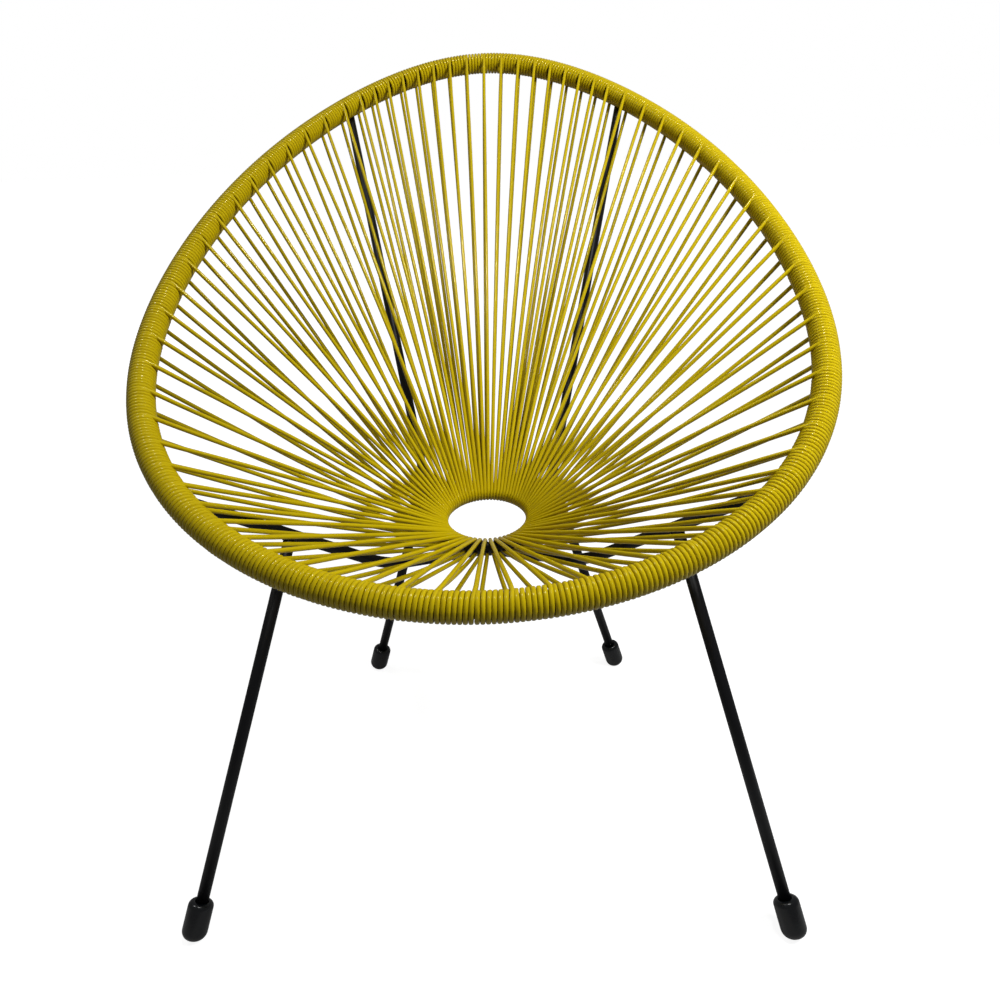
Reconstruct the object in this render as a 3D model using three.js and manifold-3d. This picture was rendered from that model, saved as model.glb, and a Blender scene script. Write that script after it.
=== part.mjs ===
// Patio chair with an egg-shaped steel hoop, wound with plastic cord.
// Seventy-four loops of the same cord are strung from the hoop down to a small ring low in the seat.
// Two bent rods cross under the ring and carry the hoop, and four straight legs are welded to the rods.
// Millimetres. +X is to the right of someone who faces the chair, +Y runs to its back, +Z is up.
// The origin is on the floor under the middle of the chair.

import * as THREE from 'three';
import { mergeVertices } from 'three/addons/utils/BufferGeometryUtils.js';
import Module from 'manifold-3d';

const wasm = await Module();
wasm.setup();

// Clearances
const touchGap = 0.3; // between two pieces that touch on the real chair

// Hoop: one bent tube, flat in its own plane, which leans back
const hoopDiameter = 19;
const hoopWall = 1.5;
const hoopLength = 949; // front to top along the slope, on the centre line
const hoopWidth = 707; // on the centre line
const hoopTilt = THREE.MathUtils.degToRad(27.6);
const hoopFrontHeight = 366; // centre line above the floor
const ventDiameter = 5;
const bulgeShares = [1, 0.129, 0.033, 0.02]; // sine terms of the egg's half width
const tipShare = 0.03; // squares the front and top ends of the egg
const shoulderShare = 0.011; // moves the shoulders of the egg towards its top

// Centre ring that gathers the cords
const ringRodDiameter = 12;
const ringHoleDiameter = 90; // clear hole inside the cords
const ringSetback = 284; // behind the front of the hoop
const ringDrop = 64.8; // below the front of the hoop
const ringTilt = THREE.MathUtils.degToRad(8.8);

// Cord
const cordDiameter = 4.5;
const pinchedWidth = 3.4; // of a cord that is squeezed by its neighbours on the ring
const frontCount = 21; // loops across the front, between the front welds
const sideCount = 18; // loops on each side, between a front and a back weld
const topCount = 17; // loops across the top, between the back welds
const frontSpacing = 30.8;
const topSpacing = 27.4;
const weldPause = 30; // from the last front loop to the first side loop
const backPause = 34; // from the last side loop to the first top loop
const crowdShare = 0.22; // draws the first side loops together towards the front
const spreadShare = 0.06; // fans the front loops out on the ring
const spreadWidthShare = 0.15; // share of the ring over which they fan out
const grooveDepth = 1.4; // of the groove in the winding where a loop leaves it
const loopsPerLength = 3; // loops carried by one cord length
const windingGap = 17; // bare stretch of hoop at each back weld

// Rods and legs
const rodDiameter = 12;
const rearElbow = { x: 63.3, y: 311.1, drop: 47 }; // below the middle of the centre ring
const frontElbow = { x: 104.5, y: 195, drop: 9 };
const elbowRadius = 26;
const weldSink = 3.5; // how far a rod's side overlaps the hoop's side where they are welded
const frontLegShare = 0.472; // of the way from the front elbow to the front weld
const rearLegShare = 0.123; // of the way from the rear elbow to the back weld
const frontFoot = { x: 293.8, y: -28 };
const rearFoot = { x: 176.7, y: 397.5 };

// Rubber foot caps
const capDiameter = 24.5;
const capLength = 38;
const capSole = 8; // rubber under the end of the leg
const capShoulder = 5;
const capToeRadius = 9;
const capFlatCut = 1.5; // depth of the flat that the cap stands on

// Counts of sides and steps
const tubeSides = 8;
const cordSides = 5;
const hollowSides = 6;
const rodSides = 10;
const elbowSteps = 5;
const turnSteps = 3;
const ringSteps = 30;
const capSides = 16;
const capArcSteps = 3;
const outlineSteps = 900;
const lengthSteps = 2400;
const gapCheckShare = 0.01; // of a cord's straight, between two places where its gap is measured

// Worked out from the sizes above
const hoopRadius = hoopDiameter / 2;
const boreRadius = hoopRadius + touchGap / Math.cos(Math.PI / tubeSides);
const crestRadius = boreRadius + cordDiameter;
const grooveRadius = crestRadius - grooveDepth;
const cordRadius = cordDiameter / 2;
const cordFlat = cordRadius * Math.cos(Math.PI / cordSides);
const leaveRadius = boreRadius + cordFlat + touchGap;
const rodRadius = rodDiameter / 2;
const ringRodRadius = ringRodDiameter / 2;
const ringHeight = hoopFrontHeight - ringDrop;
const turnRadius = (ringRodRadius + touchGap + cordFlat) / Math.cos(Math.PI / (2 * turnSteps));
const ringRadius = ringHoleDiameter / 2 + cordRadius + turnRadius;
const loopCount = frontCount + 2 * sideCount + topCount;

const cordYellow = new THREE.MeshStandardMaterial({ color: 0xb89a10, roughness: 0.35, metalness: 0 });
const powderBlack = new THREE.MeshStandardMaterial({ color: 0x16171a, roughness: 0.45, metalness: 0.3 });
const rubberBlack = new THREE.MeshStandardMaterial({ color: 0x111214, roughness: 0.7, metalness: 0 });

const chair = new THREE.Group();

// Closed geometry to a solid that can be joined and cut
function toSolid(geometry) {
  const bare = geometry.clone();
  bare.deleteAttribute('normal');
  bare.deleteAttribute('uv');
  const merged = mergeVertices(bare);
  const vertProperties = new Float32Array(merged.attributes.position.array);
  const corners = merged.index.array;
  const kept = [];
  for (let corner = 0; corner < corners.length; corner += 3) {
    const [a, b, c] = corners.slice(corner, corner + 3);
    if (a !== b && b !== c && c !== a) kept.push(a, b, c);
  }
  const triVerts = new Uint32Array(kept);
  return new wasm.Manifold(new wasm.Mesh({ numProp: 3, vertProperties, triVerts }));
}

function toGeometry(solid) {
  const mesh = solid.getMesh();
  const geometry = new THREE.BufferGeometry();
  geometry.setAttribute('position', new THREE.BufferAttribute(mesh.vertProperties, 3));
  geometry.setIndex(new THREE.BufferAttribute(mesh.triVerts, 1));
  return geometry;
}

function addPiece(name, geometry, material) {
  const mesh = new THREE.Mesh(geometry, material);
  mesh.name = name;
  chair.add(mesh);
  return mesh;
}

// Skin over a row of rings with the same number of points, capped at both ends or closed on itself
function skin(rings, closed) {
  const sides = rings[0].length;
  const positions = rings.flat().flatMap((point) => [point.x, point.y, point.z]);
  const index = [];
  const spans = closed ? rings.length : rings.length - 1;
  for (let ring = 0; ring < spans; ring += 1) {
    const next = (ring + 1) % rings.length;
    for (let side = 0; side < sides; side += 1) {
      const turned = (side + 1) % sides;
      const a = ring * sides + side;
      const b = ring * sides + turned;
      const c = next * sides + turned;
      const d = next * sides + side;
      index.push(a, c, b, a, d, c);
    }
  }
  if (!closed) {
    const last = (rings.length - 1) * sides;
    for (let side = 1; side < sides - 1; side += 1) {
      index.push(0, side, side + 1);
      index.push(last, last + side + 1, last + side);
    }
  }
  const geometry = new THREE.BufferGeometry();
  geometry.setAttribute('position', new THREE.Float32BufferAttribute(positions, 3));
  geometry.setIndex(index);
  return geometry;
}

// Ring of points round a centre, measured along two directions that are square to each other
function ringOfPoints(centre, right, up, halfWidth, halfHeight, sides, turn) {
  const points = [];
  for (let side = 0; side < sides; side += 1) {
    const angle = turn + (side / sides) * 2 * Math.PI;
    const point = centre.clone();
    point.addScaledVector(right, halfWidth * Math.cos(angle));
    point.addScaledVector(up, halfHeight * Math.sin(angle));
    points.push(point);
  }
  return points;
}

// Centre line of the hoop: an egg in a plane that leans back, starting at its front
class HoopLine extends THREE.Curve {
  constructor() {
    super();
    this.arcLengthDivisions = lengthSteps;
    this.peak = 0;
    for (let step = 0; step < outlineSteps; step += 1) {
      this.peak = Math.max(this.peak, this.bulge((step / outlineSteps) * Math.PI));
    }
  }

  bulge(angle) {
    return bulgeShares.reduce((sum, share, term) => sum + share * Math.sin((term + 1) * angle), 0);
  }

  getPoint(t, target = new THREE.Vector3()) {
    const angle = t * 2 * Math.PI;
    const across = (hoopWidth / 2) * this.bulge(angle) / this.peak;
    const tips = (Math.cos(angle) + tipShare * Math.cos(3 * angle)) / (1 + tipShare);
    const along = (hoopLength / 2) * (1 - tips + shoulderShare * (1 - Math.cos(4 * angle)));
    const rise = hoopFrontHeight + along * Math.sin(hoopTilt);
    return target.set(across, along * Math.cos(hoopTilt), rise);
  }
}

const hoopLine = new HoopLine();
const hoopPerimeter = hoopLine.getLength();
const hoopUp = new THREE.Vector3(0, -Math.sin(hoopTilt), Math.cos(hoopTilt));

// Centre, tangent and outward direction of the hoop at a distance along it from its front
function hoopAt(distance) {
  const share = THREE.MathUtils.euclideanModulo(distance / hoopPerimeter, 1);
  const centre = hoopLine.getPointAt(share);
  const tangent = hoopLine.getTangentAt(share);
  const outward = new THREE.Vector3().crossVectors(tangent, hoopUp).normalize();
  return { centre, tangent, outward };
}

// Section of anything that is wrapped round the hoop
function hoopRing(distance, radius, sides = tubeSides) {
  const { centre, outward } = hoopAt(distance);
  return ringOfPoints(centre, outward, hoopUp, radius, radius, sides, Math.PI / sides);
}

// Distances of the loops along the hoop, in order from the middle of the front, right side first
function loopDistances() {
  const frontHalf = (frontCount - 1) / 2;
  const topHalf = (topCount - 1) / 2;
  const half = [];
  for (let place = 0; place <= frontHalf; place += 1) {
    half.push(place * frontSpacing);
  }
  const sideStart = frontHalf * frontSpacing + weldPause;
  const topStart = hoopPerimeter / 2 - topHalf * topSpacing;
  const sideSpan = topStart - backPause - sideStart;
  for (let place = 0; place < sideCount; place += 1) {
    const share = place / (sideCount - 1);
    half.push(sideStart + sideSpan * (share - crowdShare * share * (1 - share) ** 3));
  }
  for (let place = 0; place <= topHalf; place += 1) {
    half.push(topStart + place * topSpacing);
  }
  const mirrored = half.slice(1, -1).reverse().map((distance) => hoopPerimeter - distance);
  return half.concat(mirrored);
}

const loops = loopDistances();
const frontWeld = (frontCount - 1) / 2 * frontSpacing + weldPause / 2;
const backWeld = hoopPerimeter / 2 - (topCount - 1) / 2 * topSpacing - backPause / 2;
const backWelds = [backWeld, hoopPerimeter - backWeld];

// Centre ring: its centre, its upward normal and a point on its centre line
const ringCentre = new THREE.Vector3(0, ringSetback, ringHeight);
const ringUp = new THREE.Vector3(0, -Math.sin(ringTilt), Math.cos(ringTilt));
const ringBack = new THREE.Vector3(0, Math.cos(ringTilt), Math.sin(ringTilt));

function ringAt(angle) {
  const outward = new THREE.Vector3(Math.sin(angle), 0, 0).addScaledVector(ringBack, -Math.cos(angle));
  const along = new THREE.Vector3().crossVectors(ringUp, outward);
  const centre = ringCentre.clone().addScaledVector(outward, ringRadius);
  return { centre, outward, along };
}

// Angle on the ring that a loop goes to: even, but fanned out near the front
function ringAngle(loop) {
  const turn = loop <= loopCount / 2 ? loop : loop - loopCount;
  const share = turn / (loopCount / 2);
  const fan = Math.tanh(share / spreadWidthShare) / Math.tanh(1 / spreadWidthShare);
  return Math.PI * ((1 - spreadShare) * share + spreadShare * fan);
}

// Where a cord leaves the winding for the ring: side 1 is over the hoop, side -1 is under it
function leavePoint(distance, target, side) {
  const { centre, tangent, outward } = hoopAt(distance);
  const toTarget = target.clone().sub(centre);
  const inPlane = new THREE.Vector2(toTarget.dot(outward), toTarget.dot(hoopUp)).normalize();
  const point = centre.clone();
  point.addScaledVector(outward, side * leaveRadius * inPlane.y);
  point.addScaledVector(hoopUp, -side * leaveRadius * inPlane.x);
  return { point, tangent };
}

// Slope of a cord in the ring's section, from the ring towards the hoop
function cordSlope(from, to, frame) {
  const direction = to.clone().sub(from);
  return Math.atan2(direction.dot(ringUp), direction.dot(frame.outward));
}

// Ring of points round a cord, its width along a given direction and one flat side towards what it bears on
function cordRing(centre, direction, sideways, halfWidth) {
  const forward = direction.clone().normalize();
  const right = sideways.clone().addScaledVector(forward, -sideways.dot(forward)).normalize();
  const up = new THREE.Vector3().crossVectors(right, forward).normalize();
  return ringOfPoints(centre, right, up, halfWidth, cordRadius, cordSides, Math.PI / 2);
}

// One loop: up from under the winding, round the inner side of the ring and back over the winding
function loopRoute(loop) {
  const frame = ringAt(ringAngle(loop));
  const under = leavePoint(loops[loop], frame.centre, -1);
  const over = leavePoint(loops[loop], frame.centre, 1);
  const startAngle = cordSlope(frame.centre, over.point, frame) + Math.PI / 2;
  const endAngle = cordSlope(frame.centre, under.point, frame) + 1.5 * Math.PI;
  const turnPoints = [];
  for (let step = 0; step <= turnSteps; step += 1) {
    const angle = startAngle + (endAngle - startAngle) * (step / turnSteps);
    const point = frame.centre.clone();
    point.addScaledVector(frame.outward, turnRadius * Math.cos(angle));
    point.addScaledVector(ringUp, turnRadius * Math.sin(angle));
    turnPoints.push(point);
  }
  return { frame, over, under, turnPoints };
}

// Widest share of a section that has its corners on a circle
const widthShare = Math.sin((Math.floor(cordSides / 4) * 2 * Math.PI) / cordSides);

function cordLoop(loop) {
  const { frame, over, under, turnPoints } = loopRoute(loop);
  const route = [over.point, ...turnPoints, under.point];
  const rings = route.map((place, step) => {
    const before = route[Math.max(step - 1, 0)];
    const after = route[Math.min(step + 1, route.length - 1)];
    const arriving = place.clone().sub(before).normalize();
    const leaving = after.clone().sub(place).normalize();
    const atHoop = step === 0 || step === route.length - 1;
    const sideways = atHoop ? over.tangent : frame.along;
    const width = atHoop ? cordDiameter : pinchedWidth;
    return cordRing(place, arriving.add(leaving), sideways, width / 2 / widthShare);
  });
  return skin(rings, false);
}

// Least gap between neighbouring cords, measured on points along both straights and round the ring
function leastCordGap() {
  let least = Infinity;
  const nearest = new THREE.Vector3();
  for (let loop = 0; loop < loopCount; loop += 1) {
    const here = loopRoute(loop);
    const next = loopRoute((loop + 1) % loopCount);
    here.turnPoints.forEach((place, step) => {
      least = Math.min(least, place.distanceTo(next.turnPoints[step]) - pinchedWidth);
    });
    for (const [side, step] of [['over', 0], ['under', turnSteps]]) {
      const line = new THREE.Line3(next.turnPoints[step], next[side].point);
      for (let share = 0; share <= 1; share += gapCheckShare) {
        const place = here.turnPoints[step].clone().lerp(here[side].point, share);
        const spacing = line.closestPointToPoint(place, true, nearest).distanceTo(place);
        const width = THREE.MathUtils.lerp(pinchedWidth, cordDiameter, share);
        least = Math.min(least, spacing - width);
      }
    }
  }
  return least;
}

// Distance of a loop along the hoop, for a number that may run past either end of the list
function distanceOf(loop) {
  const turns = Math.floor(loop / loopCount);
  return loops[loop - turns * loopCount] + turns * hoopPerimeter;
}

// Places halfway between a loop and the next one
function middleAfter(loop) {
  return (distanceOf(loop) + distanceOf(loop + 1)) / 2;
}

// Stretch of winding: a groove at each loop, full between loops, and a smooth bore that clears the hoop
function windingSleeve(first, last, start, end) {
  const outer = [hoopRing(start, crestRadius)];
  const bore = [hoopRing(start, boreRadius)];
  for (let loop = first; loop <= last; loop += 1) {
    const full = loop < last ? middleAfter(loop) : end;
    outer.push(hoopRing(distanceOf(loop), grooveRadius));
    outer.push(hoopRing(full, crestRadius));
    bore.push(hoopRing(full, boreRadius));
  }
  return skin([...outer, ...bore.reverse()], true);
}

// Path that keeps its own stations, so that straight runs stay one step long
class StationPath extends THREE.Curve {
  constructor(stations) {
    super();
    this.stations = stations;
  }

  getPoint(t, target = new THREE.Vector3()) {
    const place = THREE.MathUtils.clamp(t, 0, 1) * (this.stations.length - 1);
    const before = Math.min(Math.floor(place), this.stations.length - 2);
    return target.lerpVectors(this.stations[before], this.stations[before + 1], place - before);
  }

  getUtoTmapping(u) {
    return u;
  }
}

// Round rod through corner points, with a bend at each inner corner
function bentRod(corners, radius) {
  const stations = [corners[0]];
  for (let corner = 1; corner < corners.length - 1; corner += 1) {
    const [before, here, after] = corners.slice(corner - 1, corner + 2);
    const start = here.clone().add(before.clone().sub(here).setLength(elbowRadius));
    const end = here.clone().add(after.clone().sub(here).setLength(elbowRadius));
    stations.push(...new THREE.QuadraticBezierCurve3(start, here, end).getPoints(elbowSteps));
  }
  stations.push(corners[corners.length - 1]);
  const section = new THREE.Shape();
  section.absarc(0, 0, radius, 0, 2 * Math.PI, false);
  const settings = { bevelEnabled: false, curveSegments: rodSides, extrudePath: new StationPath(stations) };
  return toSolid(new THREE.ExtrudeGeometry(section, { ...settings, steps: stations.length - 1 }));
}

function onFloor(place, mirror) {
  return new THREE.Vector3(mirror * place.x, place.y, 0);
}

function elbowPoint(elbow, mirror) {
  return new THREE.Vector3(mirror * elbow.x, elbow.y, ringHeight - elbow.drop);
}

// Where a rod's end lies against the underside of the hoop
function weldPoint(distance) {
  const { centre } = hoopAt(distance);
  const under = leavePoint(distance, ringCentre, -1).point.sub(centre);
  return centre.add(under.setLength(hoopRadius + rodRadius - weldSink));
}

// Corner points of a crossing rod, from the back weld on one side to the front weld on the other
function rodCorners(mirror) {
  const backDistance = mirror > 0 ? backWeld : hoopPerimeter - backWeld;
  const frontDistance = mirror > 0 ? hoopPerimeter - frontWeld : frontWeld;
  return [
    weldPoint(backDistance),
    elbowPoint(rearElbow, mirror),
    elbowPoint(frontElbow, -mirror),
    weldPoint(frontDistance),
  ];
}

// Straight leg from a foot to the middle of the rod that it is welded to
function legLine(foot, corners, from, to, share) {
  const top = corners[from].clone().lerp(corners[to], share);
  return { foot, top, direction: top.clone().sub(foot).normalize() };
}

function straightRod(start, end, radius) {
  const length = start.distanceTo(end);
  const geometry = new THREE.CylinderGeometry(radius, radius, length, rodSides);
  const up = new THREE.Vector3(0, 1, 0);
  const turn = new THREE.Quaternion().setFromUnitVectors(up, end.clone().sub(start).normalize());
  geometry.applyQuaternion(turn);
  const middle = start.clone().lerp(end, 0.5);
  geometry.translate(middle.x, middle.y, middle.z);
  return toSolid(geometry);
}

// Outline of a foot cap from the middle of its toe to the bottom of its socket
function capOutline() {
  const outer = capDiameter / 2;
  const socket = rodRadius + touchGap;
  const outline = [new THREE.Vector2(0, 0)];
  for (let step = 0; step <= capArcSteps; step += 1) {
    const angle = (step / capArcSteps) * Math.PI / 2;
    const across = outer - capToeRadius + capToeRadius * Math.sin(angle);
    outline.push(new THREE.Vector2(across, capToeRadius * (1 - Math.cos(angle))));
  }
  for (let step = 0; step <= capArcSteps; step += 1) {
    const angle = (step / capArcSteps) * Math.PI / 2;
    const across = outer - capShoulder + capShoulder * Math.cos(angle);
    outline.push(new THREE.Vector2(across, capLength - capShoulder * (1 - Math.sin(angle))));
  }
  outline.push(new THREE.Vector2(socket, capLength));
  outline.push(new THREE.Vector2(socket, capSole));
  outline.push(new THREE.Vector2(0, capSole));
  return outline;
}

// Rubber cap on the end of a leg, with a flat worn where it stands on the floor
function footCap(line) {
  const geometry = new THREE.LatheGeometry(capOutline(), capSides);
  const turn = new THREE.Quaternion().setFromUnitVectors(new THREE.Vector3(0, 1, 0), line.direction);
  geometry.applyQuaternion(turn);
  geometry.translate(line.toe.x, line.toe.y, line.toe.z);
  const block = new THREE.BoxGeometry(2 * capLength, 2 * capLength, capLength);
  block.translate(line.toe.x, line.toe.y, -capLength / 2);
  return toSolid(geometry).subtract(toSolid(block));
}

// Middle of a cap's toe, lifted until the cut at floor level is as deep as it should be
function settleToe(line) {
  const tilt = line.direction.angleTo(new THREE.Vector3(0, 0, 1));
  const reach = (capDiameter / 2 - capToeRadius) * Math.sin(tilt);
  const lift = capToeRadius * (1 - Math.cos(tilt)) + reach - capFlatCut;
  return line.foot.clone().add(new THREE.Vector3(0, 0, lift));
}

// Hoop: a tube closed on itself, with a small vent hole behind its top
const hoopStations = [];
for (let loop = 0; loop < loopCount; loop += 1) {
  hoopStations.push(middleAfter(loop));
}
for (const weld of backWelds) {
  hoopStations.push(weld - windingGap / 2, weld + windingGap / 2);
}
hoopStations.sort((a, b) => a - b);

function hoopBody(radius, sides = tubeSides) {
  return toSolid(skin(hoopStations.map((station) => hoopRing(station, radius, sides)), true));
}

const ventAt = hoopAt(hoopPerimeter / 2);
const ventEnd = ventAt.centre.clone().addScaledVector(ventAt.outward, hoopDiameter);
const vent = straightRod(ventAt.centre, ventEnd, ventDiameter / 2);
const hollow = hoopBody(hoopRadius - hoopWall, hollowSides);
const hoopTube = hoopBody(hoopRadius).subtract(hollow).subtract(vent);
const hoopRoom = hoopBody(boreRadius);
addPiece('rim_hoop', toGeometry(hoopTube), powderBlack);

// Centre ring
const ringRings = [];
for (let step = 0; step < ringSteps; step += 1) {
  const { centre, outward } = ringAt((step / ringSteps) * 2 * Math.PI);
  ringRings.push(ringOfPoints(centre, outward, ringUp, ringRodRadius, ringRodRadius, tubeSides, 0));
}
addPiece('center_ring', skin(ringRings, true), powderBlack);

// Crossing rods, legs and foot caps, from the side of the back weld. The right rod runs through.
// The left one is two halves that butt against it where they cross, and lie at the same height.
const sides = [{ name: 'right', mirror: 1 }, { name: 'left', mirror: -1 }];
const rodRooms = [];
for (const { name, mirror } of sides) {
  const corners = rodCorners(mirror);
  let rod = bentRod(corners, rodRadius).subtract(hoopRoom);
  for (const crossed of rodRooms) {
    rod = rod.subtract(crossed);
  }
  const halves = rod.decompose().sort((a, b) => b.boundingBox().max[1] - a.boundingBox().max[1]);
  halves.forEach((half, place) => {
    const ending = halves.length > 1 ? ['_rear', '_front'][place] : '';
    addPiece(`crossing_rod_${name}${ending}`, toGeometry(half), powderBlack);
  });
  const room = bentRod(corners, (rodRadius + touchGap) / Math.cos(Math.PI / rodSides));
  rodRooms.push(room);
  const frontSide = mirror > 0 ? 'left' : 'right';
  const frontLine = legLine(onFloor(frontFoot, -mirror), corners, 2, 3, frontLegShare);
  const rearLine = legLine(onFloor(rearFoot, mirror), corners, 1, 0, rearLegShare);
  for (const [place, line] of [[`front_${frontSide}`, frontLine], [`rear_${name}`, rearLine]]) {
    line.toe = settleToe(line);
    const seat = line.toe.clone().addScaledVector(line.direction, capSole + touchGap);
    const leg = straightRod(seat, line.top, rodRadius).subtract(room);
    const pieces = leg.decompose().sort((a, b) => b.volume() - a.volume());
    addPiece(`leg_${place}`, toGeometry(pieces[0]), powderBlack);
    addPiece(`foot_cap_${place}`, toGeometry(footCap(line)), rubberBlack);
  }
}

// Cord: each length winds a stretch of the hoop and carries a few loops
const frontHalf = (frontCount - 1) / 2;
const stretches = [
  { name: 'front', first: -frontHalf, count: frontCount },
  { name: 'right', first: frontHalf + 1, count: sideCount },
  { name: 'top', first: frontHalf + 1 + sideCount, count: topCount },
  { name: 'left', first: frontHalf + 1 + sideCount + topCount, count: sideCount },
];

function stretchEnd(loopBefore) {
  const middle = middleAfter(loopBefore);
  const weld = backWelds.find((distance) => Math.abs(distance - middle) < backPause / 2);
  return weld === undefined ? { middle, half: touchGap / 2 } : { middle: weld, half: windingGap / 2 };
}

for (const { name, first, count } of stretches) {
  const lengths = Math.round(count / loopsPerLength);
  for (let length = 0; length < lengths; length += 1) {
    const from = first + Math.round((count * length) / lengths);
    const to = first + Math.round((count * (length + 1)) / lengths) - 1;
    const start = stretchEnd(from - 1);
    const end = stretchEnd(to);
    let cord = toSolid(windingSleeve(from, to, start.middle + start.half, end.middle - end.half));
    for (let loop = from; loop <= to; loop += 1) {
      cord = cord.add(toSolid(cordLoop(THREE.MathUtils.euclideanModulo(loop, loopCount))));
    }
    for (const room of rodRooms) {
      cord = cord.subtract(room);
    }
    addPiece(`cord_${name}_${length + 1}`, toGeometry(cord), cordYellow);
  }
}

console.log(`least gap between neighbouring cords: ${leastCordGap().toFixed(2)} mm`);

// The origin goes to the floor under the middle of the chair
const extent = new THREE.Box3().setFromObject(chair);
chair.position.set(-(extent.min.x + extent.max.x) / 2, -(extent.min.y + extent.max.y) / 2, -extent.min.z);

export default chair;
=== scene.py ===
# %% [markdown]
# A patio chair strung with plastic cord
#
# The real chair is an egg-shaped steel hoop that leans back. A glossy mustard cord is wound round the
# whole hoop, and every few turns it runs down to a small ring in the seat and back. Two bent rods cross
# under the ring, and four legs with rubber caps stand under them.
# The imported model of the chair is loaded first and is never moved. It tells where the chair stands, and
# each finished piece stands in for the plain solid of the same piece.

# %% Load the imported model
import math
import random

import bmesh
import bpy
from mathutils import Matrix, Vector


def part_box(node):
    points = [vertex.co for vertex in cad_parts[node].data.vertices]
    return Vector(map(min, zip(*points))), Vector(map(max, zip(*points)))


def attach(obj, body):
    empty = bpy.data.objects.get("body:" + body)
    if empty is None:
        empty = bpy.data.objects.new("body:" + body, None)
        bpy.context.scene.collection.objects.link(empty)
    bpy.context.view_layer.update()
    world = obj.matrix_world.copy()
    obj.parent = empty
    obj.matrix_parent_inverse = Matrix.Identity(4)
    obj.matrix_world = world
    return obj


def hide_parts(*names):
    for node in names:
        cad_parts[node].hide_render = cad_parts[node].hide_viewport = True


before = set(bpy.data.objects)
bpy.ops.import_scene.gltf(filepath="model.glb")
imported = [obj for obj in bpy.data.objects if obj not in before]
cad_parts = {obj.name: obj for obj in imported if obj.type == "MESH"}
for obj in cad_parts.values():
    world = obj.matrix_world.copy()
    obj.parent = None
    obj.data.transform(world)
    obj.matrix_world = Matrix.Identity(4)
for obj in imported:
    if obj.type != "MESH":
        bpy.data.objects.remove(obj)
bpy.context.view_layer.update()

# %% [markdown]
# The sizes are those of the real chair, in metres. The frame's origin is on the floor under the middle
# of the chair, and the sizes below are counted from the front of the hoop. So the first thing to find is
# where the front of the hoop lies, and the ring's solid in the frame tells that. The shares shape the egg
# of the hoop, crowd the loops of cord on the sides, and fan them out at the front of the ring.

# %% Sizes of the chair
mm = 0.001
full_turn = 2 * math.pi

hoop_diameter = 19 * mm
hoop_length = 949 * mm
hoop_width = 707 * mm
hoop_tilt = math.radians(27.6)
hoop_front_height = 366 * mm
bulge_shares = (1, 0.129, 0.033, 0.02)
tip_share = 0.03
shoulder_share = 0.011

ring_rod_diameter = 12 * mm
ring_hole_diameter = 90 * mm
ring_setback = 284 * mm
ring_tilt = math.radians(8.8)

cord_diameter = 4.5 * mm
wound_pitch = 4.25 * mm
wound_height = 4.3 * mm
front_count, side_count, top_count = 21, 18, 17
front_spacing = 30.8 * mm
top_spacing = 27.4 * mm
weld_pause = 30 * mm
back_pause = 34 * mm
crowd_share = 0.22
spread_share = 0.06
spread_width_share = 0.15

rod_diameter = 12 * mm
loop_count = front_count + 2 * side_count + top_count
front_half, top_half = (front_count - 1) // 2, (top_count - 1) // 2

ring_low, ring_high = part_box("center_ring")
ring_centre = (ring_low + ring_high) / 2
hoop_front = ring_centre.y - ring_setback
print("front of the hoop at y =", round(hoop_front, 4), "ring centre", [round(v, 4) for v in ring_centre])

# %% [markdown]
# The camera stands where the photographer stood: a little above the chair and straight in front, near
# enough that the front legs splay in perspective. Its place and turn come from matching the hoop, the
# ring and the four feet to the picture. The turn is written as a heading, a tilt and a small roll.

# %% Camera
camera_place = Vector((33.1 * mm, hoop_front - 491.5 * mm, 693.6 * mm))
camera_heading = -0.0361
camera_dip = 0.4584
camera_roll = -0.0381
camera_sensor_width = 36
camera_focal_share = 0.7423
camera_shift = (0.0089, 0.0107)

camera_data = bpy.data.cameras.new("camera")
camera_data.sensor_width = camera_sensor_width
camera_data.lens = camera_focal_share * camera_sensor_width
camera_data.shift_x, camera_data.shift_y = camera_shift
camera = bpy.data.objects.new("camera", camera_data)
bpy.context.collection.objects.link(camera)
forward = Vector((
    math.sin(camera_heading) * math.cos(camera_dip),
    math.cos(camera_heading) * math.cos(camera_dip),
    -math.sin(camera_dip),
))
level = Vector((math.cos(camera_heading), -math.sin(camera_heading), 0))
upright = level.cross(forward)
right = level * math.cos(camera_roll) + upright * math.sin(camera_roll)
top = upright * math.cos(camera_roll) - level * math.sin(camera_roll)
camera.matrix_world = Matrix.Translation(camera_place) @ Matrix((right, top, -forward)).transposed().to_4x4()
bpy.context.scene.camera = camera
print("camera at", [round(v, 3) for v in camera_place], "lens", round(camera_data.lens, 2), "mm")

# %% [markdown]
# The hoop's centre line is an egg. It could be drawn by hand as a Bezier curve, but a formula is easier
# to keep true: a few sine terms set the half width, and cosine terms set the place along the length. The
# line is then measured once, so that everything on the hoop can be placed by its distance along it.

# %% The egg
peak_steps = 900
egg_steps = 3600
hoop_up = Vector((0, -math.sin(hoop_tilt), math.cos(hoop_tilt)))


def bulge(angle):
    """Half width of the egg, not yet to scale."""
    return sum(share * math.sin((term + 1) * angle) for term, share in enumerate(bulge_shares))


peak = max(bulge(math.pi * step / peak_steps) for step in range(peak_steps))


def egg_point(angle):
    """Point on the hoop's centre line, from the middle of the front over the right side."""
    across = hoop_width / 2 * bulge(angle) / peak
    tips = (math.cos(angle) + tip_share * math.cos(3 * angle)) / (1 + tip_share)
    along = hoop_length / 2 * (1 - tips + shoulder_share * (1 - math.cos(4 * angle)))
    rise = hoop_front_height + along * math.sin(hoop_tilt)
    return Vector((across, hoop_front + along * math.cos(hoop_tilt), rise))


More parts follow.
